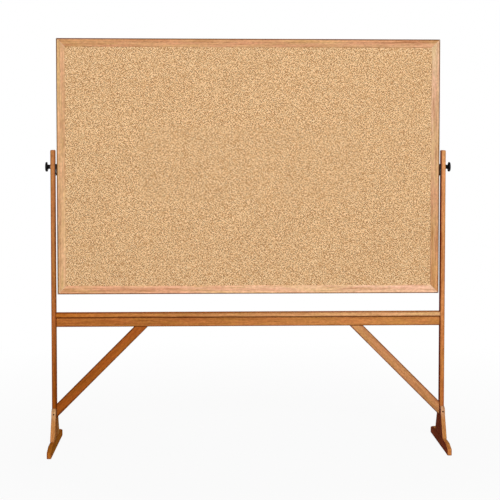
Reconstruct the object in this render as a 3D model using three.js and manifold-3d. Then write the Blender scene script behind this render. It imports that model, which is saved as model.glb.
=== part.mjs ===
// A free-standing reversible cork board: a two-faced cork panel in a mitred wooden frame,
// hung between two posts on clamping pivots, above a ledge for pins and pens.
// Millimetres. X runs along the board, Y from the front to the back, Z up.
// The origin is on the floor, under the middle of the board.

import * as THREE from 'three';
import { mergeVertices } from 'three/addons/utils/BufferGeometryUtils.js';
import Module from 'manifold-3d';

const wasm = await Module();
wasm.setup();

// Clearances
const fitGap = 0.3;          // between any two pieces that rest on each other
const cutOverrun = 2;        // how far a cutter runs past the face that it opens
const weldDistance = 0.0001; // corners closer than this are one corner

// Board
const boardWidth = 1829;
const boardHeight = 1219;
const pivotHeight = 1346;
const trayClearance = 89.2;  // between the board's bottom edge and the tray
const corkThickness = 5;
const coreThickness = 8;
const panelInset = 9.5;      // how far the core's edge goes into the frame's groove

// Frame section, measured inwards from the outer edge and back from the front face
const frameWidth = 40;
const frameThickness = 28;
const frameOuterRadius = 5;
const frameStepInset = 15;
const frameStepDrop = 0.8;
const frameStepRun = 1.2;
const frameBevelInset = 30;
const frameBevelDrop = 2;
const grooveBottomGap = 0.5;

// Loose tongues that hold the mitres together
const splineInset = 15;
const splineLength = 26;
const splineReach = 16;
const splineThickness = 4;

// Stand timber
const stockThickness = 20.6;
const postDepth = 46;
const postTopRise = 80;      // above the pivot
const postTopRadius = 5;
const edgeRound = 1.5;

// Feet
const footLength = 508;
const footHeight = 46;
const footTipHeight = 29;
const footTaperLength = 66;
const blockHeight = 144;
const blockTopLedge = 15;
const blockShoulderDrop = 12;
const blockNoseReach = 33;
const blockNoseHeight = 26;
const blockNoseSlope = 2;
const blockToeReach = 89;
const blockToeHeight = 3;

// Rail, tray and braces
const railHeight = 46;
const railDepth = 28;
const trayDepth = 52;
const trayLipThickness = 10;
const trayLipHeight = 20;
const trayLipRadius = 3;
const trayFloorThickness = 9.5;
const braceWidth = 46;
const braceDepth = 20.6;
const braceDrop = 14;        // from the top of the foot block to the middle of the brace's lower end

// Pivot hardware
const plateWidth = 24;
const plateRise = 14;        // both plates, above the pivot
const boardPlateDrop = 42;
const boardPlateThickness = 3;
const postPlateDrop = 44;
const postPlateThickness = 2.5;
const plateCornerRadius = 7;
const frictionWasherThickness = 1.6;
const washerRadius = 11;
const studRadius = 4;
const studHeadRadius = 8;
const studHeadThickness = 3;
const studReach = 14;        // how far the stud runs past the outer face of the post
const boardPlateUpperScrewDrop = 17;
const boardPlateLowerScrewDrop = 33;
const postPlateScrewDrop = 32;

// Knob, measured outwards from its seat on the washer
const knobWasherThickness = 1.5;
const knobSeatRadius = 12;
const knobNeckRadius = 10;
const knobNeckHeight = 5;
const knobFlareHeight = 9.5;
const knobFlareRadius = 12.5;
const knobUndersideHeight = 11.5;
const knobUndersideRadius = 19.5;
const knobRimRadius = 23;
const knobRimHeight = 16.5;
const knobCrownHeight = 24;
const knobCrownFullness = 0.5; // 1 for an elliptic dome, less for a flatter one
const insertRadius = 6.5;
const insertLength = 14;

// Fasteners
const woodScrew = { headRadius: 4, headHeight: 2.8, shankRadius: 2, length: 20, tipLength: 4 };
const blockScrew = { headRadius: 4, headHeight: 2.8, shankRadius: 2.2, length: 38, tipLength: 5 };
const braceScrew = { headRadius: 4.5, headHeight: 3, shankRadius: 2.4, length: 36, tipLength: 6 };
const railBolt = { headRadius: 6.5, headHeight: 5, shankRadius: 3, length: 74 };
const footBolt = { headRadius: 6.5, headHeight: 5, shankRadius: 4, length: 86 };
const counterboreDepth = 12;
const blockScrewDrop = 11;   // below the top of the block's nose
const bracePostScrewLift = 5;
const barrelNutRadius = 5;
const barrelNutLength = 20;
const barrelNutInset = 36;

// Facets
const cornerSegments = 3;
const screwSegments = 10;
const smallTurnSegments = 16;
const knobTurnSegments = 40;
const knobCurveSegments = 4;
const knobCrownSegments = 6;

// Sizes that follow
const cutterGap = fitGap;
const panelThickness = coreThickness + 2 * (corkThickness + fitGap);
const grooveHalf = coreThickness / 2 + fitGap;
const grooveDepth = panelInset + grooveBottomGap;
const panelWidth = boardWidth - 2 * (frameWidth - panelInset);
const panelHeight = boardHeight - 2 * (frameWidth - panelInset);
const corkWidth = boardWidth - 2 * (frameWidth + fitGap);
const corkHeight = boardHeight - 2 * (frameWidth + fitGap);
const corkFace = panelThickness / 2;
const frameEdge = boardWidth / 2;
const boardPlateInner = frameEdge + fitGap;
const boardPlateOuter = boardPlateInner + boardPlateThickness;
const frictionWasherInner = boardPlateOuter + fitGap;
const postPlateInner = frictionWasherInner + frictionWasherThickness + fitGap;
const postInner = postPlateInner + postPlateThickness + fitGap;
const postOuter = postInner + stockThickness;
const postMiddle = (postInner + postOuter) / 2;
const knobWasherInner = postOuter + fitGap;
const knobSeat = knobWasherInner + knobWasherThickness + fitGap;
const postBottom = footHeight + fitGap;
const postTop = pivotHeight + postTopRise;
const trayBottom = pivotHeight - boardHeight / 2 - trayClearance - trayLipHeight;
const railEnd = postInner - fitGap;
const railTop = trayBottom - fitGap;
const railBottom = railTop - railHeight;
const blockBottom = footHeight + fitGap;
const blockTop = footHeight + blockHeight;
const blockNoseTop = blockTop - blockShoulderDrop;
const blockNoseBottom = blockNoseTop - blockNoseHeight;
const blockScrewHeight = blockNoseTop - blockScrewDrop;
const blockBack = postDepth / 2 + fitGap;
const braceReach = railBottom - (blockTop - braceDrop);
const boreRadius = studRadius + fitGap;

// Materials
const oak = { color: 0xbe7d41, roughness: 0.5, metalness: 0 };
const frameWood = { color: 0xdcac7e, roughness: 0.48, metalness: 0 };
const cork = { color: 0xd4ad80, roughness: 0.9, metalness: 0 };
const fibreboard = { color: 0x8c6b4a, roughness: 0.85, metalness: 0 };
const beech = { color: 0xd2a877, roughness: 0.6, metalness: 0 };
const blackSteel = { color: 0x252221, roughness: 0.5, metalness: 0.6 };
const zincSteel = { color: 0xb4b8bc, roughness: 0.35, metalness: 1 };
const brass = { color: 0xc6a255, roughness: 0.3, metalness: 1 };
const blackPlastic = { color: 0x1a1919, roughness: 0.4, metalness: 0 };
const nylon = { color: 0x2b2929, roughness: 0.6, metalness: 0 };

// Solids and cuts

function solidOf(geometry) {
  const bare = geometry.clone();
  bare.deleteAttribute('normal');
  bare.deleteAttribute('uv');
  const merged = mergeVertices(bare, weldDistance);
  return new wasm.Manifold(new wasm.Mesh({
    numProp: 3,
    vertProperties: Float32Array.from(merged.attributes.position.array),
    triVerts: Uint32Array.from(merged.index.array),
  }));
}

function geometryOf(solid) {
  const { vertProperties, triVerts } = solid.getMesh();
  const geometry = new THREE.BufferGeometry();
  geometry.setAttribute('position', new THREE.BufferAttribute(Float32Array.from(vertProperties), 3));
  geometry.setIndex(new THREE.BufferAttribute(Uint32Array.from(triVerts), 1));
  geometry.computeVertexNormals();
  return geometry;
}

function cut(geometry, cutters) {
  let solid = solidOf(geometry);
  for (const cutter of cutters) {
    solid = solid.subtract(solidOf(cutter));
  }
  return geometryOf(solid);
}

function named(name, geometry, finish) {
  const mesh = new THREE.Mesh(geometry, new THREE.MeshStandardMaterial(finish));
  mesh.name = name;
  return mesh;
}

// An outline with a rounded corner at each point; a radius of zero leaves the corner sharp.
function roundedOutline(points, radii) {
  const shape = new THREE.Shape();
  const count = points.length;
  for (let i = 0; i < count; i++) {
    const corner = points[i];
    const before = points[(i + count - 1) % count].clone().sub(corner).normalize();
    const after = points[(i + 1) % count].clone().sub(corner).normalize();
    const radius = radii[i];
    const half = Math.acos(THREE.MathUtils.clamp(before.dot(after), -1, 1)) / 2;
    const setback = radius / Math.tan(half);
    const start = corner.clone().addScaledVector(before, setback);
    const end = corner.clone().addScaledVector(after, setback);
    if (i === 0) {
      shape.moveTo(start.x, start.y);
    } else {
      shape.lineTo(start.x, start.y);
    }
    if (radius > 0) {
      const middle = before.clone().add(after).normalize();
      const centre = corner.clone().addScaledVector(middle, radius / Math.sin(half));
      const from = Math.atan2(start.y - centre.y, start.x - centre.x);
      const to = Math.atan2(end.y - centre.y, end.x - centre.x);
      const clockwise = before.cross(after) > 0;
      shape.absarc(centre.x, centre.y, radius, from, to, clockwise);
    }
  }
  shape.closePath();
  return shape;
}

function rectangle(left, bottom, right, top, radius) {
  const points = [
    new THREE.Vector2(left, bottom),
    new THREE.Vector2(right, bottom),
    new THREE.Vector2(right, top),
    new THREE.Vector2(left, top),
  ];
  return roundedOutline(points, points.map(() => radius));
}

// A board sawn to an outline, with the edges of both faces eased.
function sawn(shape, thickness, easing) {
  const geometry = new THREE.ExtrudeGeometry(shape, {
    depth: thickness - 2 * easing,
    steps: 1,
    curveSegments: cornerSegments,
    bevelEnabled: easing > 0,
    bevelThickness: easing,
    bevelSize: easing,
    bevelOffset: -easing,
    bevelSegments: 1,
  });
  geometry.translate(0, 0, easing - thickness / 2);
  return geometry;
}

// Stands an outline drawn in X and Y up in X and Z, so that its thickness runs along Y.
function facingFront(geometry) {
  return geometry.rotateX(Math.PI / 2);
}

// Stands an outline drawn as Y and Z, so that its thickness or length runs along X.
function facingSide(geometry) {
  return geometry.rotateX(Math.PI / 2).rotateZ(Math.PI / 2);
}

// A turned piece about X from pairs of distance along X and radius.
function turned(profile, segments = smallTurnSegments) {
  const points = profile.map(([along, radius]) => new THREE.Vector2(radius, along));
  return new THREE.LatheGeometry(points, segments).rotateZ(-Math.PI / 2);
}

function rod(from, to, radius) {
  return turned([[from, 0], [from, radius], [to, radius], [to, 0]]);
}

function ring(from, to, bore, radius) {
  return turned([[from, bore], [from, radius], [to, radius], [to, bore], [from, bore]]);
}

// Fasteners, pointing along X with the underside of the head's rim at zero

function screwBody(screw, gap) {
  const head = screw.headRadius + gap;
  const shank = screw.shankRadius + gap;
  return turned([
    [-gap, 0],
    [-gap, head],
    [screw.headHeight, shank],
    [screw.length - screw.tipLength, shank],
    [screw.length + gap, 0],
  ], screwSegments);
}

function screwHole(screw, recess) {
  const head = screw.headRadius + cutterGap;
  return [
    screwBody(screw, cutterGap),
    rod(-recess - cutOverrun, 0, head),
  ];
}

function boltBody(bolt) {
  return turned([
    [0, 0],
    [0, bolt.headRadius],
    [bolt.headHeight, bolt.headRadius],
    [bolt.headHeight, bolt.shankRadius],
    [bolt.length, bolt.shankRadius],
    [bolt.length, 0],
  ]);
}

function boltHole(bolt, recess) {
  return [
    rod(-recess - cutOverrun, bolt.headHeight + cutterGap, bolt.headRadius + cutterGap),
    rod(0, bolt.length + cutterGap, bolt.shankRadius + cutterGap),
  ];
}

// Where a fastener goes: turned to its direction, then moved to its place.
function aimed(geometry, direction, place) {
  const turn = new THREE.Quaternion().setFromUnitVectors(new THREE.Vector3(1, 0, 0), direction);
  return geometry.applyQuaternion(turn).translate(place.x, place.y, place.z);
}

function aimedAll(geometries, direction, place) {
  return geometries.map((geometry) => aimed(geometry, direction, place));
}

const outwards = new THREE.Vector3(1, 0, 0);
const inwards = new THREE.Vector3(-1, 0, 0);
const upwards = new THREE.Vector3(0, 0, 1);
const downwards = new THREE.Vector3(0, 0, -1);

// Places of the fasteners on the right-hand side; the left-hand side is the same, turned about Z.
const boardScrewPlaces = [
  { name: 'upper', place: new THREE.Vector3(boardPlateOuter, 0, pivotHeight - boardPlateUpperScrewDrop) },
  { name: 'lower', place: new THREE.Vector3(boardPlateOuter, 0, pivotHeight - boardPlateLowerScrewDrop) },
];
const postPlateScrewPlace = new THREE.Vector3(postPlateInner, 0, pivotHeight - postPlateScrewDrop);
const railBoltPlace = new THREE.Vector3(postOuter, 0, railBottom + railHeight / 2);
const footBoltPlace = new THREE.Vector3(postMiddle, 0, counterboreDepth);
const bracePostScrewPlace = new THREE.Vector3(
  postOuter - fitGap, 0, railBottom - braceReach + bracePostScrewLift);
const braceRailScrewPlace = new THREE.Vector3(
  postInner - braceReach, 0, railTop - railHeight / 2);
const blockNoseMiddleReach = blockNoseReach + blockNoseSlope / 2;
const blockScrewReach = postDepth / 2 + blockNoseMiddleReach - counterboreDepth;

function blockScrewPlace(way) {
  return new THREE.Vector3(postMiddle, way * blockScrewReach, blockScrewHeight);
}

// Board: frame

// Half of the frame's moulding, from the outer edge to the inner edge of the front face.
function mouldingHalf(side) {
  const face = frameThickness / 2;
  return [
    [0, side * face, frameOuterRadius],
    [frameStepInset, side * face, 0],
    [frameStepInset + frameStepRun, side * (face - frameStepDrop), 0],
    [frameBevelInset, side * (face - frameStepDrop), 0],
    [frameWidth, side * (face - frameStepDrop - frameBevelDrop), 0],
    [frameWidth, side * grooveHalf, 0],
    [frameWidth - grooveDepth, side * grooveHalf, 0],
  ];
}

function mouldingShape() {
  const corners = [...mouldingHalf(-1), ...mouldingHalf(1).reverse()];
  const points = corners.map(([inset, face]) => new THREE.Vector2(inset, face));
  return roundedOutline(points, corners.map(([, , radius]) => radius));
}

// A length of moulding with both ends mitred. It lies along X with its outer edge up, at Z zero.
function mitredRail(length) {
  const geometry = new THREE.ExtrudeGeometry(mouldingShape(), {
    depth: length,
    steps: 1,
    curveSegments: cornerSegments,
    bevelEnabled: false,
  });
  geometry.translate(0, 0, -length / 2);
  geometry.rotateY(Math.PI / 2);
  const position = geometry.attributes.position;
  const halfJoint = fitGap * Math.SQRT1_2;
  for (let i = 0; i < position.count; i++) {
    const inset = -position.getZ(i);
    const reach = length / 2 - inset - halfJoint;
    position.setX(i, Math.sign(position.getX(i)) * reach);
  }
  return geometry;
}

// A loose tongue across the mitre at the +X end (end 1) or the -X end (end -1) of a rail.
function mitreSpline(gap) {
  return new THREE.BoxGeometry(splineReach + 2 * gap, splineThickness + 2 * gap, splineLength + 2 * gap);
}

function splineSlots(length) {
  return [1, -1].map((end) => mitreSpline(cutterGap)
    .rotateY(end * Math.PI / 4)
    .translate(end * (length / 2 - splineInset), 0, -splineInset));
}

// The recess behind a pivot plate: room for the stud's head, and the two screw holes below it.
// Below is at +X of the rail as it lies (way 1), or at -X (way -1).
function pivotRecess(way) {
  const studHead = aimed(
    rod(-cutOverrun, studHeadThickness + 2 * cutterGap, studHeadRadius + cutterGap),
    downwards, new THREE.Vector3(0, 0, 0));
  const screws = [boardPlateUpperScrewDrop, boardPlateLowerScrewDrop].flatMap((drop) => aimedAll(
    [screwBody(woodScrew, cutterGap)],
    downwards, new THREE.Vector3(way * drop, 0, boardPlateOuter - frameEdge)));
  return [studHead, ...screws];
}

function framePieces() {
  const group = new THREE.Group();
  group.position.set(0, 0, pivotHeight);
  const sides = [
    { name: 'frame_top', length: boardWidth, distance: boardHeight / 2, turn: 0, pivot: 0 },
    { name: 'frame_right', length: boardHeight, distance: boardWidth / 2, turn: 1, pivot: 1 },
    { name: 'frame_bottom', length: boardWidth, distance: boardHeight / 2, turn: 2, pivot: 0 },
    { name: 'frame_left', length: boardHeight, distance: boardWidth / 2, turn: 3, pivot: -1 },
  ];
  for (const side of sides) {
    const cutters = [...splineSlots(side.length), ...(side.pivot ? pivotRecess(side.pivot) : [])];
    const rail = named(side.name, cut(mitredRail(side.length), cutters), frameWood);
    rail.position.set(0, 0, side.distance);
    const carrier = new THREE.Group();
    carrier.rotation.y = side.turn * Math.PI / 2;
    carrier.add(rail);
    group.add(carrier);
  }
  const corners = [
    { name: 'corner_tongue_top_right', x: 1, z: 1 },
    { name: 'corner_tongue_bottom_right', x: 1, z: -1 },
    { name: 'corner_tongue_bottom_left', x: -1, z: -1 },
    { name: 'corner_tongue_top_left', x: -1, z: 1 },
  ];
  for (const corner of corners) {
    const tongue = named(corner.name, mitreSpline(0), beech);
    tongue.rotation.y = corner.x * corner.z * Math.PI / 4;
    tongue.position.set(
      corner.x * (boardWidth / 2 - splineInset), 0, corner.z * (boardHeight / 2 - splineInset));
    group.add(tongue);
  }
  return group;
}

// Board: panel. The core sits in the frame's groove, and the cork lies on it inside the frame.

function panelPieces() {
  const group = new THREE.Group();
  group.position.set(0, 0, pivotHeight);
  group.add(named('core_panel', new THREE.BoxGeometry(panelWidth, coreThickness, panelHeight), fibreboard));
  for (const [name, way] of [['cork_front', -1], ['cork_back', 1]]) {
    const sheet = named(name, new THREE.BoxGeometry(corkWidth, corkThickness, corkHeight), cork);
    sheet.position.y = way * (corkFace - corkThickness / 2);
    group.add(sheet);
  }
  return group;
}

// Board: pivot hardware on the right-hand side

function boardPlate() {
  const outline = rectangle(
    -plateWidth / 2, pivotHeight - boardPlateDrop,
    plateWidth / 2, pivotHeight + plateRise, plateCornerRadius);
  const plate = facingSide(sawn(outline, boardPlateThickness, 0));
  plate.translate(boardPlateInner + boardPlateThickness / 2, 0, 0);
  const bore = rod(boardPlateInner - cutOverrun, boardPlateOuter + cutOverrun, boreRadius);
  const screws = boardScrewPlaces.flatMap(({ place }) => aimedAll(
    screwHole(woodScrew, 0), inwards, place));
  return cut(plate, [bore.translate(0, 0, pivotHeight), ...screws]);
}

function pivotStud() {
  const headBack = boardPlateInner - fitGap - studHeadThickness;
  const headFront = headBack + studHeadThickness;
  return turned([
    [headBack, 0],
    [headBack, studHeadRadius],
    [headFront, studHeadRadius],
    [headFront, studRadius],
    [postOuter + studReach - edgeRound, studRadius],
    [postOuter + studReach, studRadius - edgeRound],
    [postOuter + studReach, 0],
  ]).translate(0, 0, pivotHeight);
}

function boardHardware(side) {
  const pieces = [
    named(`board_plate_${side}`, boardPlate(), blackSteel),
    named(`pivot_stud_${side}`, pivotStud(), zincSteel),
    named(`friction_washer_${side}`, ring(
      frictionWasherInner, frictionWasherInner + frictionWasherThickness,
      boreRadius, washerRadius).translate(0, 0, pivotHeight), nylon),
  ];
  for (const { name, place } of boardScrewPlaces) {
    const screw = aimed(screwBody(woodScrew, 0), inwards, place);
    pieces.push(named(`board_plate_screw_${side}_${name}`, screw, blackSteel));
  }
  return pieces;
}

// Knobs

function knobCrown() {
  const points = [];
  for (let i = 1; i <= knobCrownSegments; i++) {
    const angle = (i / knobCrownSegments) * Math.PI / 2;
    points.push([
      knobRimHeight + (knobCrownHeight - knobRimHeight) * Math.sin(angle) ** knobCrownFullness,
      knobRimRadius * Math.cos(angle) ** knobCrownFullness,
    ]);
  }
  return points;
}

function knobUnderside() {
  const points = [];
  for (let i = 0; i <= knobCurveSegments; i++) {
    const angle = (i / knobCurveSegments) * Math.PI / 2;
    points.push([
      knobUndersideHeight + (knobRimHeight - knobUndersideHeight) * (1 - Math.cos(angle)),
      knobUndersideRadius + (knobRimRadius - knobUndersideRadius) * Math.sin(angle),
    ]);
  }
  return points;
}

function knobBody() {
  const boreDepth = insertLength + fitGap;
  const profile = [
    [boreDepth, 0],
    [boreDepth, insertRadius + fitGap],
    [0, insertRadius + fitGap],
    [0, knobSeatRadius],
    [knobNeckHeight / 2, knobNeckRadius],
    [knobNeckHeight, knobNeckRadius],
    [knobFlareHeight, knobFlareRadius],
    ...knobUnderside(),
    ...knobCrown(),
  ];
  profile[profile.length - 1][1] = 0;
  return turned(profile, knobTurnSegments).translate(knobSeat, 0, pivotHeight);
}

function knobPieces(side) {
  return [
    named(`knob_${side}`, knobBody(), blackPlastic),
    named(`knob_insert_${side}`, ring(
      knobSeat, knobSeat + insertLength, boreRadius, insertRadius).translate(0, 0, pivotHeight), brass),
    named(`knob_washer_${side}`, ring(
      knobWasherInner, knobWasherInner + knobWasherThickness,
      boreRadius, washerRadius).translate(0, 0, pivotHeight), zincSteel),
  ];
}

// Stand: post

function post() {
  const outline = roundedOutline([
    new THREE.Vector2(postInner, postBottom),
    new THREE.Vector2(postOuter, postBottom),
    new THREE.Vector2(postOuter, postTop),
    new THREE.Vector2(postInner, postTop),
  ], [0, 0, postTopRadius, postTopRadius]);
  const blank = facingFront(sawn(outline, postDepth, edgeRound));
  const pivotBore = rod(postInner - cutOverrun, postOuter + cutOverrun, boreRadius + fitGap);
  return cut(blank, [
    pivotBore.translate(0, 0, pivotHeight),
    ...aimedAll([screwBody(woodScrew, cutterGap)], outwards, postPlateScrewPlace),
    ...aimedAll(boltHole(railBolt, 0), inwards, railBoltPlace),
    ...aimedAll(boltHole(footBolt, 0), upwards, footBoltPlace),
    ...aimedAll(screwHole(braceScrew, 0), inwards, bracePostScrewPlace),
    ...blockScrewCuts(),
  ]);
}

function blockScrewCuts() {
  return [1, -1].flatMap((way) => aimedAll(
    screwHole(blockScrew, counterboreDepth), new THREE.Vector3(0, -way, 0), blockScrewPlace(way)));
}

// Stand: foot

function footBar() {
  const tip = footLength / 2;
  const taper = tip - footTaperLength;
  const outline = roundedOutline([
    new THREE.Vector2(-tip, 0),
    new THREE.Vector2(tip, 0),
    new THREE.Vector2(tip, footTipHeight),
    new THREE.Vector2(taper, footHeight),
    new THREE.Vector2(-taper, footHeight),
    new THREE.Vector2(-tip, footTipHeight),
  ], [0, 0, postTopRadius, 0, 0, postTopRadius]);
  const blank = facingSide(sawn(outline, stockThickness, edgeRound));
  blank.translate(postMiddle, 0, 0);
  return cut(blank, aimedAll(boltHole(footBolt, counterboreDepth), upwards, footBoltPlace));
}

// The wedge-shaped block that steadies the post, behind it (way 1) or in front of it (way -1).
function footBlock(way) {
  const face = postDepth / 2;
  const corners = [
    [blockBack, blockBottom, 0],
    [face + blockToeReach, blockBottom, 0],
    [face + blockToeReach, blockBottom + blockToeHeight, 0],
    [face + blockNoseReach + blockNoseSlope, blockNoseBottom, 0],
    [face + blockNoseReach, blockNoseTop, postTopRadius],
    [face + blockTopLedge, blockTop, postTopRadius],
    [blockBack, blockTop, 0],
  ];
  const ordered = way > 0 ? corners : [...corners].reverse();
  const points = ordered.map(([depth, height]) => new THREE.Vector2(way * depth, height));
  const outline = roundedOutline(points, ordered.map(([, , radius]) => radius));
  const blank = facingSide(sawn(outline, stockThickness, edgeRound));
  blank.translate(postMiddle, 0, 0);
  return cut(blank, blockScrewCuts());
}

// Stand: plate that the board's pivot turns in, screwed to the inner face of the post

function postPlate() {
  const outline = rectangle(
    -plateWidth / 2, pivotHeight - postPlateDrop,
    plateWidth / 2, pivotHeight + plateRise, plateCornerRadius);
  const plate = facingSide(sawn(outline, postPlateThickness, 0));
  plate.translate(postPlateInner + postPlateThickness / 2, 0, 0);
  const bore = rod(postPlateInner - cutOverrun, postInner + cutOverrun, boreRadius);
  return cut(plate, [
    bore.translate(0, 0, pivotHeight),
    ...aimedAll(screwHole(woodScrew, 0), outwards, postPlateScrewPlace),
  ]);
}

// Stand: rail, tray and braces

function barrelNut() {
  const nut = rod(-barrelNutLength / 2, barrelNutLength / 2, barrelNutRadius).rotateZ(Math.PI / 2);
  const bore = rod(-barrelNutRadius - cutOverrun, barrelNutRadius + cutOverrun, railBolt.shankRadius + fitGap);
  return cut(nut, [bore]).translate(railEnd - barrelNutInset, 0, railBoltPlace.z);
}

function rail() {
  const outline = rectangle(-railDepth / 2, railBottom, railDepth / 2, railTop, edgeRound);
  const blank = facingSide(sawn(outline, 2 * railEnd, 0));
  const cutters = [];
  for (const side of [1, -1]) {
    const boltBore = aimedAll(
      boltHole(railBolt, 0), new THREE.Vector3(-side, 0, 0),
      new THREE.Vector3(side * postOuter, 0, railBoltPlace.z));
    const nutBore = rod(
      -barrelNutLength / 2 - fitGap, railDepth / 2 + cutOverrun, barrelNutRadius + fitGap);
    nutBore.rotateZ(Math.PI / 2).translate(side * (railEnd - barrelNutInset), 0, railBoltPlace.z);
    const screwBore = aimedAll(
      screwHole(braceScrew, railHeight / 2), downwards,
      new THREE.Vector3(side * braceRailScrewPlace.x, 0, braceRailScrewPlace.z));
    cutters.push(...boltBore, nutBore, ...screwBore);
  }
  return cut(blank, cutters);
}

function trayPieces() {
  const lipInner = trayDepth / 2 - trayLipThickness;
  const floorOutline = rectangle(
    -lipInner + fitGap, trayBottom, lipInner - fitGap, trayBottom + trayFloorThickness, 0);
  const pieces = [named('tray_floor', facingSide(sawn(floorOutline, 2 * railEnd, 0)), oak)];
  for (const [name, way] of [['tray_lip_front', -1], ['tray_lip_back', 1]]) {
    const near = way * lipInner;
    const far = way * trayDepth / 2;
    const lipOutline = rectangle(
      Math.min(near, far), trayBottom, Math.max(near, far), trayBottom + trayLipHeight, trayLipRadius);
    pieces.push(named(name, facingSide(sawn(lipOutline, 2 * railEnd, 0)), oak));
  }
  return pieces;
}

function brace() {
  const halfCut = braceWidth * Math.SQRT1_2;
  const top = railBottom - fitGap;
  const near = postInner - fitGap;
  const postCut = top - braceReach;
  const railCut = near - braceReach;
  const outline = roundedOutline([
    new THREE.Vector2(near, postCut - halfCut),
    new THREE.Vector2(near, postCut + halfCut),
    new THREE.Vector2(railCut + halfCut, top),
    new THREE.Vector2(railCut - halfCut, top),
  ], [0, 0, 0, 0]);
  const blank = facingFront(sawn(outline, braceDepth, edgeRound));
  return cut(blank, [
    ...aimedAll(screwHole(braceScrew, 0), inwards, bracePostScrewPlace),
    ...aimedAll(screwHole(braceScrew, 0), downwards, braceRailScrewPlace),
  ]);
}

// The pieces of one side of the stand, drawn for the right-hand side

function standSide(side) {
  const pieces = [
    named(`post_${side}`, post(), oak),
    named(`foot_bar_${side}`, footBar(), oak),
    named(`foot_bolt_${side}`, aimed(boltBody(footBolt), upwards, footBoltPlace), zincSteel),
    named(`brace_${side}`, brace(), oak),
    named(`brace_post_screw_${side}`, aimed(
      screwBody(braceScrew, 0), inwards, bracePostScrewPlace), zincSteel),
    named(`brace_rail_screw_${side}`, aimed(
      screwBody(braceScrew, 0), downwards, braceRailScrewPlace), zincSteel),
    named(`rail_bolt_${side}`, aimed(boltBody(railBolt), inwards, railBoltPlace), zincSteel),
    named(`barrel_nut_${side}`, barrelNut(), zincSteel),
    named(`post_plate_${side}`, postPlate(), blackSteel),
    named(`post_plate_screw_${side}`, aimed(
      screwBody(woodScrew, 0), outwards, postPlateScrewPlace), blackSteel),
  ];
  const front = side === 'right' ? -1 : 1;
  for (const [end, way] of [['front', front], ['back', -front]]) {
    pieces.push(named(`foot_block_${side}_${end}`, footBlock(way), oak));
    pieces.push(named(`foot_block_screw_${side}_${end}`, aimed(
      screwBody(blockScrew, 0), new THREE.Vector3(0, -way, 0), blockScrewPlace(way)), blackSteel));
  }
  return pieces;
}

// The whole object

const corkBoard = new THREE.Group();
corkBoard.add(named('rail', rail(), oak), ...trayPieces(), framePieces(), panelPieces());
for (const [side, turn] of [['right', 0], ['left', Math.PI]]) {
  const group = new THREE.Group();
  group.rotation.z = turn;
  group.add(...standSide(side), ...boardHardware(side), ...knobPieces(side));
  corkBoard.add(group);
}

export default corkBoard;
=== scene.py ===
"""Reversible cork board: the finish of its timber, cork and fittings, and the studio that it stands in.

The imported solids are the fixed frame. Metres, X along the board, Y from front to back, Z up.
"""
import math
import random
from functools import partial

import bmesh
import bpy
from bpy.props import FloatProperty, FloatVectorProperty, IntProperty, PointerProperty
from mathutils import Matrix, Vector


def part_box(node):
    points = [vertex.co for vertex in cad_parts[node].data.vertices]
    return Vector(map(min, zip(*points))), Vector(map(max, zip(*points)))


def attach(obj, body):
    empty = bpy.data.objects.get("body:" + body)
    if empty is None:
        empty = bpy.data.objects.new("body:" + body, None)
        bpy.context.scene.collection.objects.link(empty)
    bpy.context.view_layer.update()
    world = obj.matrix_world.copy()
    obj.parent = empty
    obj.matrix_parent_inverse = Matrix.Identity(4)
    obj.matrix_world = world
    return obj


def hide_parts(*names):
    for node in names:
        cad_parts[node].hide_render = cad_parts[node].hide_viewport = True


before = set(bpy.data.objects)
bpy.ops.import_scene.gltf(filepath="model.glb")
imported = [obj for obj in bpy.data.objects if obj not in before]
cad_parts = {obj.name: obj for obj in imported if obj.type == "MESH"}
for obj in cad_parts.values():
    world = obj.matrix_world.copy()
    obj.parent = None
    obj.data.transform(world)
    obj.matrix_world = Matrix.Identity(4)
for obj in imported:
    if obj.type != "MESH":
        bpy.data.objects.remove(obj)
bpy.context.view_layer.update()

bl_info = {
    "name": "Reversible cork board",
    "version": (1, 0, 0),
    "blender": (4, 5, 0),
    "location": "3D View > Sidebar > Cork board",
    "description": "Finishes the solids of a free-standing reversible cork board",
    "category": "Object",
}

SIDES = {"left": -1, "right": 1}
MM = 0.001
UP = Vector((0, 0, 1))
BACK = Vector((0, 1, 0))

BOARD_BOX = (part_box("frame_left")[0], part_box("frame_right")[1])
PIVOT = Vector((0, 0, (BOARD_BOX[0].z + BOARD_BOX[1].z) / 2))

# Room between a made piece and the solid that it is fitted round.
FIT_GAP = 0.3 * MM


def linear(hex_colour):
    """A colour written as sRGB hex, as linear light."""
    shades = [int(hex_colour[i:i + 2], 16) / 255 for i in (0, 2, 4)]
    return tuple(c / 12.92 if c <= 0.04045 else ((c + 0.055) / 1.055) ** 2.4 for c in shades)


def colour(name, description, hex_colour):
    return FloatVectorProperty(name=name, description=description, subtype="COLOR", size=3,
                               min=0, max=1, default=linear(hex_colour))


def oak_tone(place, hex_colour):
    return colour(place, f"Tone of the oak, {place.lower()}", hex_colour)


def length(name, description, metres):
    return FloatProperty(name=name, description=description, subtype="DISTANCE", unit="LENGTH",
                         min=0, precision=5, default=metres)


def power(name, description, watts):
    return FloatProperty(name=name, description=description, unit="POWER", default=watts)


def angle(name, description, degrees):
    return FloatProperty(name=name, description=description, subtype="ANGLE", default=math.radians(degrees))


def settings_of(kind, name, description):
    return PointerProperty(type=kind, name=name, description=description)


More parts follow.
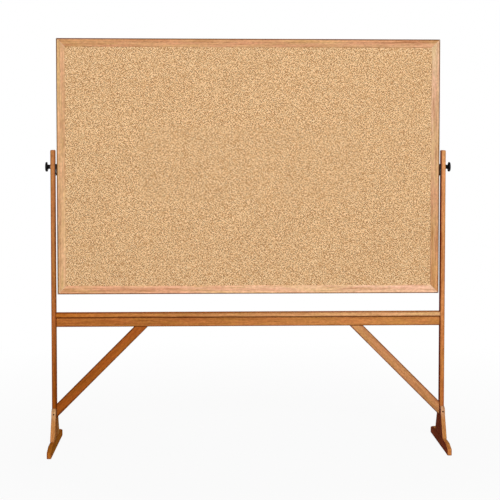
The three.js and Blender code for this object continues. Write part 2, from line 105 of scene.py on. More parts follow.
class FrameMouldingSizes(bpy.types.PropertyGroup):
    """Section of the board's frame, from its outer edge inwards and from its face back."""
    outer_round: length("Outer round", "Radius of the frame's outer edges", 5 * MM)
    step_inset: length("Step inset", "From the outer edge to the small step in the face", 15 * MM)
    step_drop: length("Step drop", "Depth of the small step in the face", 0.8 * MM)
    step_run: length("Step run", "Width of the small step in the face", 1.2 * MM)
    bevel_inset: length("Bevel inset", "From the outer edge to the start of the inner bevel", 30 * MM)
    bevel_drop: length("Bevel drop", "How far the inner bevel falls", 2 * MM)
    arris: length("Arris", "Radius of the inner edge beside the cork", 0.7 * MM)


class CorkSizes(bpy.types.PropertyGroup):
    """Grain and tones of the pressed cork."""
    granule: length("Granule", "Size of the cork granules as drawn", 3.4 * MM)
    fines: length("Fines", "Size of the fine granules between them as drawn", 1.4 * MM)
    mixing: length("Mixing", "Reach within which pale and dark granules are evenly mixed", 4.8 * MM)
    cork_base: colour("Cork", "Middle tone of the cork", "DCAB78")
    cork_light: colour("Light granule", "Palest granules", "F9DAAC")
    cork_dark: colour("Dark granule", "Dark granules", "B1814F")
    cork_bark: colour("Bark", "Specks of bark", "754B29")


class TimberColours(bpy.types.PropertyGroup):
    """Tones of the oak, and the tints of its painted light and shade."""
    frame_top_left: oak_tone("Frame, top rail, left end", "CD976B")
    frame_top_right: oak_tone("Frame, top rail, right end", "D8A67C")
    frame_bottom_left: oak_tone("Frame, bottom rail, left end", "DEA67C")
    frame_bottom_right: oak_tone("Frame, bottom rail, right end", "F0C4A0")
    frame_left: oak_tone("Frame, left rail", "D7AA7D")
    frame_right_low: oak_tone("Frame, right rail, lower end", "D29766")
    frame_right_high: oak_tone("Frame, right rail, upper end", "E2BE9A")
    post_left_low: oak_tone("Left post, lower end", "9E5314")
    post_left_high: oak_tone("Left post, upper end", "C07E4B")
    post_right_low: oak_tone("Right post, lower end", "C87C3E")
    post_right_high: oak_tone("Right post, upper end", "DA9A62")
    rail_left: oak_tone("Rail, left end", "B06930")
    rail_right: oak_tone("Rail, right end", "C28047")
    # The ledge pales towards its right end: partly the oak's own tone, partly painted light from the right.
    ledge_left: oak_tone("Ledge, left end", "BF712A")
    ledge_right_tone_and_light: oak_tone("Ledge, paler right end", "E6B37E")
    brace_left_low: oak_tone("Left brace, lower end", "944D18")
    brace_left_high: oak_tone("Left brace, upper end", "AD6027")
    brace_right_low: oak_tone("Right brace, lower end", "BD8252")
    brace_right_high: oak_tone("Right brace, upper end", "CB8E5E")
    foot_left: oak_tone("Left foot bar", "B97028")
    foot_right: oak_tone("Right foot bar", "D08A4A")
    block: oak_tone("Foot blocks, below their nose", "C2854C")
    # Painted light: the paler nose tone lights the sloped face of each foot block's nose, and is not a tone
    # of the end grain.
    nose: oak_tone("Foot blocks, planed end grain of the nose", "D4A276")
    # Painted shade: this tint darkens and reddens the side of the right post and foot that faces the board's
    # middle, in place of the shade there.
    inner_right_painted_shade: colour("Right inner side", "Tint of the deeper stain on the side of the right post and "
                        "foot that faces the board's middle", "CB9DC4")
    pore: colour("Pores", "Open pores, filled with dark stain", "593C27")
    mitre: colour("Mitres", "Pale line where the mitres were sanded", "E9CBAE")


class TimberGrain(bpy.types.PropertyGroup):
    """Streaks of the oak, and the painted shade that darkens it towards its arrises."""
    ring: length("Streak", "Width of the fine streaks as drawn", 5 * MM)
    band: length("Band", "Width of the broad streaks", 30 * MM)
    hue: length("Hue", "Width of the streaks of warmer and cooler wood", 22 * MM)
    pore: length("Pore", "Width of the open pores as drawn", 1.6 * MM)
    fleck: length("Ray fleck", "Length of the short ray flecks as drawn", 14 * MM)
    spread: FloatProperty(name="Spread", description="Width of a streak across a board's breadth, as a "
                          "multiple of its width across the thickness", min=1, default=5)
    # Painted shade: how far the darker tint of the painted shade reaches from an arris.
    arris_shade_run: length("Stain run", "How far the darker stain reaches from an arris", 6 * MM)


class FittingColours(bpy.types.PropertyGroup):
    """Colours of the plastic and metal fittings, and of the boards inside."""
    phenolic: colour("Knob", "Black moulded knob", "0D0B0B")
    lacquer: colour("Plates", "Black lacquered steel", "21150F")
    zinc: colour("Zinc", "Zinc plated screws and bolts", "B4B8BC")
    brass: colour("Brass", "Turned brass insert", "C6A255")
    nylon: colour("Nylon", "Friction washer", "2B2929")
    softboard: colour("Softboard", "Core between the cork sheets", "8C6B4A")
    beech: colour("Beech", "Loose tongues across the mitres", "D2A877")


class FastenerSizes(bpy.types.PropertyGroup):
    """Heads and threads of the screws and bolts."""
    screw_head: length("Screw head", "Height of a countersunk screw head", 2.8 * MM)
    bolt_head: length("Bolt head", "Height of a bolt's or stud's head", 3 * MM)
    screw_pitch: length("Screw pitch", "Rise of a screw's thread in one turn", 1.8 * MM)
    bolt_pitch: length("Bolt pitch", "Rise of a bolt's thread in one turn", 1.25 * MM)
    thread_rise: length("Thread rise", "Height of the thread over its core", 0.45 * MM)


class StudioSettings(bpy.types.PropertyGroup):
    """Camera and lights."""
    camera_place: FloatVectorProperty(
        name="Camera", description="Where the camera stands", subtype="TRANSLATION", unit="LENGTH",
        size=3, default=(-0.185, -6.751, 1.537))
    yaw: angle("Yaw", "Camera turned to the left", -2.525)
    pitch: angle("Pitch", "Camera tipped up", -2.968)
    roll: angle("Roll", "Camera rolled", -0.069)
    focal_pixels: FloatProperty(name="Focal length", description="In pixels of a 500 pixel picture",
                                default=1411.0)
    shift_pixels: FloatVectorProperty(name="Shift", description="Lens shift in pixels, right and down",
                                      size=2, default=(22.6, -50.0))
    picture_pixels: IntProperty(name="Picture", description="Width and height of the picture", default=500)
    key_power: power("Key light", "Large soft light high at the front right", 1350)
    fill_power: power("Fill light", "Large low light at the front", 240)
    back_power: power("Back light", "Large soft light behind the board", 700)
    sky_level: FloatProperty(name="Sky", description="Level of the even light all round", default=0.13)


# Small helpers


def settings():
    return bpy.context.scene.cork_board


def add(tree, kind, *ordered, named=None, stops=(), **options):
    """Adds a node with its options and the values of its inputs.

    A kind without the word Node is a shader node's. Ordered values go to the inputs in use, from the first
    one on, and named ones to the inputs of those names. Each is a plain value, a socket, or a node, which
    stands for its first output in use; a list links several of them to one input. Stops are the places and
    linear colours of a colour ramp.
    """
    node = tree.nodes.new(kind if "Node" in kind else f"ShaderNode{kind}")
    for name, option in options.items():
        setattr(node, name, option)
    given = list(zip([socket for socket in node.inputs if socket.enabled], ordered))
    given += [(node.inputs[name], value) for name, value in (named or {}).items()]
    for socket, values in given:
        for value in values if isinstance(values, list) else [values]:
            if isinstance(value, bpy.types.Node):
                value = next(output for output in value.outputs if output.enabled)
            if isinstance(value, bpy.types.NodeSocket):
                tree.links.new(value, socket)
            else:
                socket.default_value = (*value, 1) if socket.type == "RGBA" else value
    for _ in stops[2:]:
        node.color_ramp.elements.new(0.5)
    for i, (place, shade) in enumerate(stops):
        node.color_ramp.elements[i].position = place
        node.color_ramp.elements[i].color = (*shade, 1)
    return node


def blank_material(name):
    """A material with an empty tree, and the function that adds nodes to it."""
    material = bpy.data.materials.new(name)
    material.use_nodes = True
    material.node_tree.nodes.clear()
    return material, partial(add, material.node_tree)


def grey(level):
    return (level, level, level)


def apart(put, first, second):
    """How far two values lie apart."""
    return put("Math", put("Math", first, second, operation="SUBTRACT"), operation="ABSOLUTE")


def weighed(put, *terms):
    """The sum of some values, each times its weight."""
    parts = [put("Math", value, weight, operation="MULTIPLY") for value, weight in terms]
    total = parts[0]
    for part in parts[1:]:
        total = put("Math", total, part, operation="ADD")
    return total


def tinted(put, shade, *tints, factor=1.0):
    """A colour multiplied by one tint after another, each as far as the factor says."""
    for tint in tints:
        shade = put("Mix", factor, shade, tint, data_type="RGBA", blend_type="MULTIPLY")
    return shade


def surface(put, base, roughness, height, strength, relief, metallic=0.0, ior=1.5, specular=0.5):
    """Ends a material: its shader, with relief from a height, and its output."""
    bump = put("Bump", named={"Strength": strength, "Distance": relief, "Height": height})
    put("OutputMaterial", put("BsdfPrincipled", named={
        "Base Color": base, "Roughness": roughness, "Metallic": metallic, "IOR": ior,
        "Specular IOR Level": specular, "Normal": bump,
    }))


def seen_ray(put):
    """One for the rays of the camera and those that reach it by a mirror or through glass, zero for light."""
    path = put("LightPath").outputs
    seen = put("Math", path["Is Camera Ray"], path["Is Glossy Ray"], operation="MAXIMUM")
    return put("Math", seen, path["Is Transmission Ray"], operation="MAXIMUM")


def dress(material, *names):
    """Gives CAD nodes a material in place of their plain one."""
    for name in names:
        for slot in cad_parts[name].material_slots:
            slot.material = material


def settle(piece, body, replaced):
    """Shades a new piece, sets it on a body and has it stand for CAD nodes."""
    piece.data.shade_smooth()
    piece.data.set_sharp_from_angle(angle=math.radians(32))
    weighted = piece.modifiers.new("flat faces stay flat", "WEIGHTED_NORMAL")
    weighted.keep_sharp = True
    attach(piece, body)
    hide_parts(*replaced)
    return piece


def linked(name, data):
    """A new object in the scene."""
    item = bpy.data.objects.new(name, data)
    bpy.context.scene.collection.objects.link(item)
    return item


def object_from(maker, name, material):
    """Turns a filled bmesh into an object of one material."""
    mesh = bpy.data.meshes.new(name)
    maker.to_mesh(mesh)
    maker.free()
    mesh.materials.append(material)
    return linked(name, mesh)


# Materials


def board_lines(maker, along=None):
    """Directions of a board's length, breadth and thickness, each with the board's reach along it.

    The length follows the longest edge, unless it is given. The grain is quarter sawn: streaks are fine
    across the thickness and broad across the breadth.
    """
    if along is None:
        longest = max(maker.edges, key=lambda edge: edge.calc_length())
        along = (longest.verts[1].co - longest.verts[0].co).normalized()
    across = UP if abs(along.y) > abs(along.x) + abs(along.z) else BACK
    lines = []
    for direction in (along, across, along.cross(across)):
        reach = [vertex.co.dot(direction) for vertex in maker.verts]
        lines.append((direction, min(reach), max(reach)))
    return lines


def arris_distance(put, in_board, lines):
    """How far a point of a board's surface lies from the nearest arris: its second smallest depth."""
    depths = []
    for place, (_, low, high) in zip(in_board, lines):
        from_middle = apart(put, place, (low + high) / 2)
        depths.append(put("Math", (high - low) / 2, from_middle, operation="SUBTRACT"))
    nearer = put("Math", depths[0], depths[1], operation="MINIMUM")
    farther = put("Math", depths[0], depths[1], operation="MAXIMUM")
    second = put("Math", farther, depths[2], operation="MINIMUM")
    return put("Math", nearer, second, operation="MAXIMUM")


def satin_oak(name, lines, seed, near_tone, far_tone, span, arris_shade_level, over=None):
    """Red oak boards, planed, stained, thinly lacquered and rubbed down until the gloss is gone.

    Gives straight streaks along each board, short ray flecks, darker pores in dashes, a slow change of tone
    from one end of a board to the other, and painted shade that darkens the tone towards the arrises. On the
    ledge the paler right end is partly the oak's own tone and partly painted light. The sides seen edge on
    stay dark, without any glare. Span is the axis and the two places of the end tones. Over adds a finish
    of its own: it turns the nodes' function, the place of a point and the colour there into a new colour;
    it is used for painted shade and a painted highlight.
    """
    sizes = settings().grain
    material, put = blank_material(name)
    draw = random.Random(seed)
    coordinates = put("TexCoord").outputs["Object"]
    place = put("SeparateXYZ", coordinates).outputs
    in_board = [put("VectorMath", coordinates, direction, operation="DOT_PRODUCT")
                for direction, _, _ in lines]
    # Each board is cut from its own place in a block of wood 18 m across.
    log = put("VectorMath", put("CombineXYZ", *in_board),
              tuple(draw.uniform(-9, 9) for _ in range(3)), operation="ADD")

    def streaks(along_width, width, detail, distortion, spread=sizes.spread):
        """Noise drawn out along the grain to the given real length and width."""
        scales = (1 / along_width, 1 / (spread * width), 1 / width)
        stretched = put("VectorMath", log, scales, operation="MULTIPLY")
        return put("TexNoise", named={
            "Vector": stretched, "Scale": 1.0, "Detail": detail, "Roughness": 0.6, "Distortion": distortion,
        })

    bands = streaks(700 * MM, sizes.band, 3, 0.4)
    # Growth rings of 2 to 3 mm are too fine for the picture, so the streaks are drawn wider.
    rings = streaks(90 * MM, sizes.ring, 7, 0.2)
    hue = streaks(200 * MM, sizes.hue, 2, 0.3)
    # Open pores are about 0.3 by 4 mm, also too fine, and drawn larger.
    pores = streaks(16 * MM, sizes.pore, 2, 0.0, 1.2)
    flecks = streaks(sizes.fleck, sizes.fleck / 2, 1, 0.0)
    grain = put("ValToRGB", weighed(put, (bands, 0.45), (rings, 0.55)), stops=[
        (0.36, (0.66, 0.55, 0.46)),
        (0.44, (0.87, 0.82, 0.77)),
        (0.51, (1.01, 1.01, 1.01)),
        (0.63, (1.20, 1.23, 1.26)),
    ])
    warmth = put("ValToRGB", hue, stops=[
        (0.34, (1.03, 0.95, 1.00)), (0.50, grey(1)), (0.66, (0.98, 1.04, 0.92)),
    ])
    rays = put("ValToRGB", flecks, stops=[
        (0.34, (0.90, 0.89, 0.87)), (0.50, grey(1)), (0.66, (1.10, 1.12, 1.14)),
    ])
    axis, start, end = span
    tone = put("Mix", put("MapRange", place[axis], start, end, 0.0, 1.0),
               near_tone, far_tone, data_type="RGBA")
    pore = put("MapRange", pores, 0.59, 0.66, 0.0, 1.0)
    pored = put("Mix", weighed(put, (pore, 0.42)), tinted(put, tone, rays, grain, warmth),
                settings().timber.pore, data_type="RGBA")
    # Painted shade along the arrises: the tone darkens towards each arris.
    arris_painted_shade = put("MapRange", arris_distance(put, in_board, lines), 0.8 * MM, sizes.arris_shade_run,
                   arris_shade_level, 0.0)
    base = tinted(put, pored, (0.30, 0.14, 0.08), factor=arris_painted_shade)
    if over:
        base = over(put, place, base)
    surface(put, base, put("MapRange", rings, 0.3, 0.7, 0.63, 0.51),
            weighed(put, (rings, 0.4), (pore, -1)), strength=0.35, relief=0.25 * MM, specular=0.0)
    return material


def moulding_painted_light(level, width, half_thickness, put, place, base):
    """Painted shade and highlight on the frame's moulding: darker on the rounded outer arris and in the small
    step, which is painted shade, and paler on the inner bevel, which is a painted highlight; also a pale line
    where the mitres were sanded.

    Level is true for the top and bottom rails.
    """
    outer = BOARD_BOX[1] - PIVOT
    across = put("Math", outer.x, apart(put, place["X"], PIVOT.x), operation="SUBTRACT")
    upright = put("Math", outer.z, apart(put, place["Z"], PIVOT.z), operation="SUBTRACT")
    from_face = put("Math", half_thickness, apart(put, place["Y"], PIVOT.y), operation="SUBTRACT")
    from_arris = put("Math", from_face, upright if level else across, operation="MAXIMUM")
    inset = put("Math", from_arris, width, operation="DIVIDE")
    # Painted shade on the outer arris and in the small step, a slightly paler band on the face beside the
    # round, and a painted highlight on the inner bevel.
    bands = put("ValToRGB", inset, stops=[
        (0.00, (0.10, 0.06, 0.035)),
        (0.09, (0.34, 0.24, 0.17)),
        (0.17, (1.06, 1.04, 1.00)),
        (0.33, (1.04, 1.02, 0.98)),
        (0.39, (0.86, 0.82, 0.78)),
        (0.45, (1.00, 0.99, 0.99)),
        (0.74, (0.99, 0.98, 0.98)),
        (0.90, (1.05, 1.07, 1.10)),
        (1.00, (1.00, 1.00, 1.00)),
    ])
    line = put("MapRange", apart(put, across, upright), 0.8 * MM, 3.2 * MM, 0.4, 0.0)
    return put("Mix", line, tinted(put, base, bands), settings().timber.mitre, data_type="RGBA")


def inner_side_painted_shade(side_x, put, place, base):
    """Painted shade on one side of a board, that side being the plane at the given X: the colour there is
    tinted darker and redder.
    """
    share = put("MapRange", apart(put, place["X"], side_x), 0.3 * MM, 1.6 * MM, 1.0, 0.0)
    return tinted(put, base, settings().timber.inner_right_painted_shade, factor=share)


def pressed_cork():
    """Natural cork, ground, pressed into sheets and sanded, with no coating.

    Gives a dry, matte, evenly speckled field: pale and tan granules, some darker ones, and specks of bark.
    Real granules are 1 to 3 mm; they are drawn a little larger, so that the speckle shows.
    """
    sizes = settings().cork
    material, put = blank_material("pressed cork")
    coordinates = put("TexCoord").outputs["Object"]
    warp = put("TexNoise", coordinates, 0.5 / sizes.granule, 1.0).outputs["Color"]
    bent = put("VectorMath", warp, grey(0.5 * sizes.granule), coordinates, operation="MULTIPLY_ADD")

    def granules(places, size, channel):
        """One shade for each granule, from a channel of its random colour."""
        cells = put("TexVoronoi", places, 1 / size)
        return put("SeparateColor", cells.outputs["Color"]).outputs[channel]

    fine_shade = granules(bent, sizes.fines, "Green")
    seams = put("TexVoronoi", bent, 1 / sizes.granule, feature="DISTANCE_TO_EDGE")
    face = put("MapRange", seams, 0.0, 0.2, 0.0, 1.0)
    own_shade = granules(bent, sizes.granule, "Red")
    shades = [(put("MapRange", own_shade, 0.0, 1.0, -0.09, 0.67), 1), (fine_shade, 0.20)]
    # The granules are well mixed, so a granule's neighbours tend to the opposite tone.
    for step in ((1, 0, 0), (-1, 0, 0), (0, 0, 1), (0, 0, -1)):
        beside = put("VectorMath", bent, Vector(step) * sizes.mixing, operation="ADD")
        neighbour = granules(beside, sizes.granule, "Red")
        shades.append((put("MapRange", neighbour, 0.0, 1.0, 0.046, -0.046), 1))
    tones = put("ValToRGB", weighed(put, *shades, (face, 0.25)), stops=[
        (0.16, sizes.cork_bark),
        (0.32, sizes.cork_dark),
        (0.55, sizes.cork_base),
        (0.85, sizes.cork_light),
    ])
    clouds = put("ValToRGB", put("TexNoise", coordinates, 7.0, 1.0),
                 stops=[(0.3, grey(0.985)), (0.7, grey(1.015))])
    surface(put, tinted(put, tones, clouds), put("MapRange", fine_shade, 0.0, 1.0, 0.82, 0.95),
            weighed(put, (face, 1), (fine_shade, 0.5)), strength=0.4, relief=0.3 * MM, specular=0.25)
    return material


def fitting(name, shade, roughness, grain, relief, **optics):
    """A hard surface whose tone, roughness and relief vary with a noise of the given real grain."""
    material, put = blank_material(name)
    noise = put("TexNoise", put("TexCoord").outputs["Object"], 1 / grain, 3.0)
    tones = put("ValToRGB", noise, stops=[
        (0.25, tuple(0.82 * c for c in shade)), (0.75, tuple(1.14 * c for c in shade)),
    ])
    surface(put, tones, put("MapRange", noise, 0.3, 0.7, *roughness), noise,
            strength=0.3, relief=relief, **optics)
    return material


def moulded_phenolic():
    """Black thermoset, compression moulded: deep black, with a soft gloss and a faint swirl."""
    return fitting("moulded phenolic", settings().fittings.phenolic, roughness=(0.4, 0.55),
                   grain=9 * MM, relief=0.04 * MM, specular=0.06)


def lacquered_steel():
    """Pressed mild steel, black lacquered: a thin satin skin with a slight orange peel."""
    return fitting("lacquered steel", settings().fittings.lacquer, roughness=(0.5, 0.65),
                   grain=2.5 * MM, relief=0.05 * MM, specular=0.06)


def zinc_plate():
    """Cold headed steel with bright zinc plating: silvery, slightly clouded."""
    return fitting("zinc plate", settings().fittings.zinc, roughness=(0.28, 0.42),
                   grain=3 * MM, relief=0.02 * MM, metallic=1.0)


def turned_brass():
    """Free-cutting brass, turned: warm, with fine tool marks."""
    return fitting("turned brass", settings().fittings.brass, roughness=(0.22, 0.36),
                   grain=1.5 * MM, relief=0.03 * MM, metallic=1.0)


def friction_nylon():
    """Black nylon, moulded: dull and even."""
    return fitting("moulded nylon", settings().fittings.nylon, roughness=(0.5, 0.65),
                   grain=2 * MM, relief=0.03 * MM, ior=1.53)


def softboard():
    """Wood fibre softboard, pressed and left bare: a woolly brown sheet."""
    return fitting("fibre softboard", settings().fittings.softboard, roughness=(0.85, 0.95),
                   grain=4 * MM, relief=0.4 * MM)


def sawn_beech():
    """Beech, sawn and left bare: pale, with short flecks."""
    return fitting("sawn beech", settings().fittings.beech, roughness=(0.6, 0.75),
                   grain=3 * MM, relief=0.1 * MM)


# Board


def moulding_section(sizes, half_thickness, width, groove_half, groove_depth):
    """Points of the frame's section as (inset from the outer edge, place from front to back)."""
    arc_steps = 7
    arc = [math.radians(90) * i / arc_steps for i in range(arc_steps + 1)]
    radius, arris = sizes.outer_round, sizes.arris
    front = [(radius * (1 - math.cos(turn)), half_thickness - radius * (1 - math.sin(turn))) for turn in arc]
    step_steps = 4
    for i in range(step_steps + 1):
        share = i / step_steps
        fall = sizes.step_drop * (1 - math.cos(math.pi * share)) / 2
        front.append((sizes.step_inset + sizes.step_run * share, half_thickness - fall))
    low = half_thickness - sizes.step_drop
    inner = low - sizes.bevel_drop
    slope = sizes.bevel_drop / (width - sizes.bevel_inset)
    front += [(sizes.bevel_inset, low), (width - arris, inner + slope * arris)]
    front += [(width - arris * (1 - math.sin(turn)), inner - arris * (1 - math.cos(turn)))
              for turn in arc[1:-1]]
    front += [(width, inner - arris), (width, groove_half), (width - groove_depth, groove_half)]
    return front + [(inset, -place) for inset, place in reversed(front)]


def mitred_rail(section, half_length, joint_gap):
    """A length of moulding along X with its outer edge at Z zero and both ends mitred."""
    maker = bmesh.new()
    ends = [[maker.verts.new((end * (half_length - inset - joint_gap), -place, -inset))
             for inset, place in section] for end in (-1, 1)]
    for i in range(len(section)):
        j = (i + 1) % len(section)
        maker.faces.new((ends[0][i], ends[0][j], ends[1][j], ends[1][i]))
    maker.faces.new(ends[0])
    maker.faces.new(list(reversed(ends[1])))
    bmesh.ops.recalc_face_normals(maker, faces=maker.faces[:])
    return maker


class CORKBOARD_OT_frame(bpy.types.Operator):
    """Makes the four mitred rails of the board's frame"""
    bl_idname = "corkboard.frame"
    bl_label = "Frame"

    # The stand's boards have the seeds from zero up.
    FIRST_SEED = 40
    # How much deeper the groove is than the core reaches into it.
    GROOVE_ROOM = 0.5 * MM

    def execute(self, context):
        tones = settings().timber
        low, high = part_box("frame_top")
        core_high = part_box("core_panel")[1]
        frame_width = high.z - low.z
        half_thickness = (high.y - low.y) / 2
        groove_depth = frame_width - (BOARD_BOX[1].z - core_high.z) + self.GROOVE_ROOM
        section = moulding_section(settings().moulding, half_thickness, frame_width,
                                   core_high.y + FIT_GAP, groove_depth)
        half = (BOARD_BOX[1] - BOARD_BOX[0]) / 2
        width = ("X", BOARD_BOX[0].x, BOARD_BOX[1].x)
        height = ("Z", BOARD_BOX[0].z, BOARD_BOX[1].z)
        # Turn about the pivot, half the rail's length, its distance, its end tones and where they lie.
        rails = {
            "frame_top": (0, half.x, half.z, tones.frame_top_left, tones.frame_top_right, width),
            "frame_right": (90, half.z, half.x, tones.frame_right_low, tones.frame_right_high, height),
            "frame_bottom": (180, half.x, half.z, tones.frame_bottom_left, tones.frame_bottom_right, width),
            "frame_left": (270, half.z, half.x, tones.frame_left, tones.frame_left, height),
        }
        for i, (node, (turn, half_length, distance, near, far, span)) in enumerate(rails.items()):
            maker = mitred_rail(section, half_length, BOARD_BOX[1].x - high.x)
            maker.transform(Matrix.Translation(PIVOT) @ Matrix.Rotation(math.radians(turn), 4, "Y")
                            @ Matrix.Translation((0, 0, distance)))
            # The moulding gets painted shade on its outer arris and step, and a painted highlight on its
            # inner bevel.
            shade = partial(moulding_painted_light, span == width, frame_width, half_thickness)
            material = satin_oak(f"natural oak {node}", board_lines(maker), self.FIRST_SEED + i,
                                 near, far, span, 0, shade)
            settle(object_from(maker, f"moulded_{node}", material), "board", [node])
        return {"FINISHED"}


class CORKBOARD_OT_panel(bpy.types.Operator):
    """Finishes the two cork sheets, the core between them and the tongues of the frame"""
    bl_idname = "corkboard.panel"
    bl_label = "Cork panel"

    def execute(self, context):
        dress(pressed_cork(), "cork_front", "cork_back")
        dress(softboard(), "core_panel")
        dress(sawn_beech(), *[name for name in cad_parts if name.startswith("corner_tongue")])
        return {"FINISHED"}


# Stand


def merged_copy(node):
    """The faces of a CAD node, merged from its loose triangles."""
    maker = bmesh.new()
    maker.from_mesh(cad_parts[node].data)
    bmesh.ops.remove_doubles(maker, verts=maker.verts[:], dist=0.001 * MM)
    bmesh.ops.dissolve_limit(maker, angle_limit=math.radians(0.5), verts=maker.verts[:],
                             edges=maker.edges[:])
    return maker


def eased_piece(maker, node, material, body, arris):
    """A merged copy of a CAD node as a piece with its chamfers rounded over, that stands for the node."""
    piece = settle(object_from(maker, f"finished_{node}", material), body, [node])
    bevel = piece.modifiers.new("worn arris", "BEVEL")
    bevel.width = arris
    bevel.segments = 2
    bevel.limit_method = "ANGLE"
    bevel.angle_limit = math.radians(30)
    piece.modifiers.move(1, 0)


class CORKBOARD_OT_stand(bpy.types.Operator):
    """Finishes the posts, feet, rail, ledge and braces of the stand"""
    bl_idname = "corkboard.stand"
    bl_label = "Stand"

    ARRIS = 0.45 * MM
    # These pieces get painted shade on the side that faces the board's middle.
    INNER_SIDE_PAINTED_SHADE = ("post_right", "foot_bar_right", "foot_block_right_front", "foot_block_right_back")

    def execute(self, context):
        tones = settings().timber
        left, right = BOARD_BOX[0].x, BOARD_BOX[1].x
        # Each is an axis, with the places along it between which a tone changes.
        width = ("X", left, right)
        rail_run = ("X", left, 0.4)
        post_rise = ("Z", 0.2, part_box("post_left")[1].z)
        brace_rise = ("Z", *[corner.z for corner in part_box("brace_left")])
        # The blocks turn to the paler nose tone over this rise: painted light on the sloped nose.
        nose_light_rise = ("Z", 0.13, 0.17)
        # End tones, where they lie, and how strong the painted shade along the arrises is.
        boards = {
            "rail": (tones.rail_left, tones.rail_right, rail_run, 0.95),
            # The ledge's paler right end is partly painted light.
            "tray_floor": (tones.ledge_left, tones.ledge_right_tone_and_light, width, 0.4),
            "tray_lip_front": (tones.ledge_left, tones.ledge_right_tone_and_light, width, 0.6),
            "tray_lip_back": (tones.rail_left, tones.rail_right, width, 0.6),
            "post_left": (tones.post_left_low, tones.post_left_high, post_rise, 0.45),
            "post_right": (tones.post_right_low, tones.post_right_high, post_rise, 0.45),
            "brace_left": (tones.brace_left_low, tones.brace_left_high, brace_rise, 1.0),
            "brace_right": (tones.brace_right_low, tones.brace_right_high, brace_rise, 1.0),
            "foot_bar_left": (tones.foot_left, tones.foot_left, post_rise, 0.5),
            "foot_bar_right": (tones.foot_right, tones.foot_right, post_rise, 0.5),
        }
        for side in SIDES:
            for end in ("front", "back"):
                boards[f"foot_block_{side}_{end}"] = (tones.block, tones.nose, nose_light_rise, 0.4)
        for seed, (node, finish) in enumerate(boards.items()):
            maker = merged_copy(node)
            lines = board_lines(maker, UP if node.startswith("foot_block") else None)
            # Some pieces get painted shade on their inner side, a darker and redder tint.
            stain = None
            if node in self.INNER_SIDE_PAINTED_SHADE:
                stain = partial(inner_side_painted_shade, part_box(node)[0].x)
            material = satin_oak(f"stained oak {node}", lines, seed, *finish, stain)
            eased_piece(maker, node, material, "stand", self.ARRIS)
        return {"FINISHED"}


# Fittings


def turned_piece(profile, segments, axis_sign, centre):
    """A solid of revolution about X from (distance outwards, radius) pairs.

    The first and last radius are zero.
    """
    maker = bmesh.new()
    rings = []
    for outwards, radius in profile:
        turns = [2 * math.pi * i / segments for i in range(segments)] if radius else [0]
        rings.append([maker.verts.new((axis_sign * outwards, centre.y + radius * math.cos(turn),
                                       centre.z + radius * math.sin(turn))) for turn in turns])
    for first, second in zip(rings, rings[1:]):
        for i in range(segments):
            j = (i + 1) % segments
            corners = [first[i % len(first)], first[j % len(first)],
                       second[j % len(second)], second[i % len(second)]]
            maker.faces.new(list(dict.fromkeys(corners)))
    bmesh.ops.recalc_face_normals(maker, faces=maker.faces[:])
    return maker


def knob_profile(start, end, radius, bore, bore_depth):
    """Outline of the knob from the bottom of its bore, round its seat and neck, to the middle of its crown.

    The key points of the neck are shares of the knob's height and radius, with a smooth curve through them.
    The flare ends in a rim whose underside is a quarter ellipse, and the crown is a flattened dome.
    """
    height = end - start
    keys = [(0.0, 0.49), (0.015, 0.52), (0.10, 0.45), (0.21, 0.435), (0.35, 0.47), (0.43, 0.60),
            (0.48, 0.85)]
    profile = [(start + bore_depth, 0), (start + bore_depth, bore), (start, bore)]
    neck_steps = 6
    for i in range(len(keys) - 1):
        before, here, after, beyond = [Vector(keys[min(max(i + k, 0), len(keys) - 1)])
                                       for k in (-1, 0, 1, 2)]
        for j in range(neck_steps):
            t = j / neck_steps
            point = (2 * here + (after - before) * t + (2 * before - 5 * here + 4 * after - beyond) * t ** 2
                     + (3 * here - before - 3 * after + beyond) * t ** 3) / 2
            profile.append((start + height * max(point.x, 0), radius * point.y))
    low, lip = keys[-1]
    rim = 0.69
    rim_steps = 12
    for i in range(rim_steps + 1):
        turn = math.radians(90) * i / rim_steps
        profile.append((start + height * (low + (rim - low) * (1 - math.cos(turn))),
                        radius * (lip + (1 - lip) * math.sin(turn))))
    crown_steps = 24
    for i in range(1, crown_steps + 1):
        turn = math.radians(90) * i / crown_steps
        profile.append((start + height * (rim + (1 - rim) * math.sin(turn) ** 0.5),
                        radius * math.cos(turn) ** 0.5 if i < crown_steps else 0))
    return profile


class CORKBOARD_OT_knobs(bpy.types.Operator):
    """Makes the two clamping knobs and finishes their inserts and washers"""
    bl_idname = "corkboard.knobs"
    bl_label = "Knobs"

    FACETS = 96

    def execute(self, context):
        phenolic, brass, zinc = moulded_phenolic(), turned_brass(), zinc_plate()
        for side, sign in SIDES.items():
            knob = f"knob_{side}"
            low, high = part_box(knob)
            insert_low, insert_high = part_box(f"knob_insert_{side}")
            start, end = (low.x, high.x) if sign > 0 else (-high.x, -low.x)
            profile = knob_profile(start, end, (high.z - low.z) / 2,
                                   bore=(insert_high.z - insert_low.z) / 2 + FIT_GAP,
                                   bore_depth=insert_high.x - insert_low.x + FIT_GAP)
            maker = turned_piece(profile, self.FACETS, sign, PIVOT)
            settle(object_from(maker, f"turned_{knob}", phenolic), knob, [knob])
            dress(brass, f"knob_insert_{side}")
            dress(zinc, f"knob_washer_{side}")
        return {"FINISHED"}


class CORKBOARD_OT_pivots(bpy.types.Operator):
    """Finishes the pivot plates and friction washers"""
    bl_idname = "corkboard.pivots"
    bl_label = "Pivots"

    ARRIS = 0.25 * MM

    def execute(self, context):
        steel, nylon = lacquered_steel(), friction_nylon()
        for side in SIDES:
            for node, body in ((f"board_plate_{side}", "board"), (f"post_plate_{side}", "stand")):
                eased_piece(merged_copy(node), node, steel, body, self.ARRIS)
            dress(nylon, f"friction_washer_{side}")
        return {"FINISHED"}


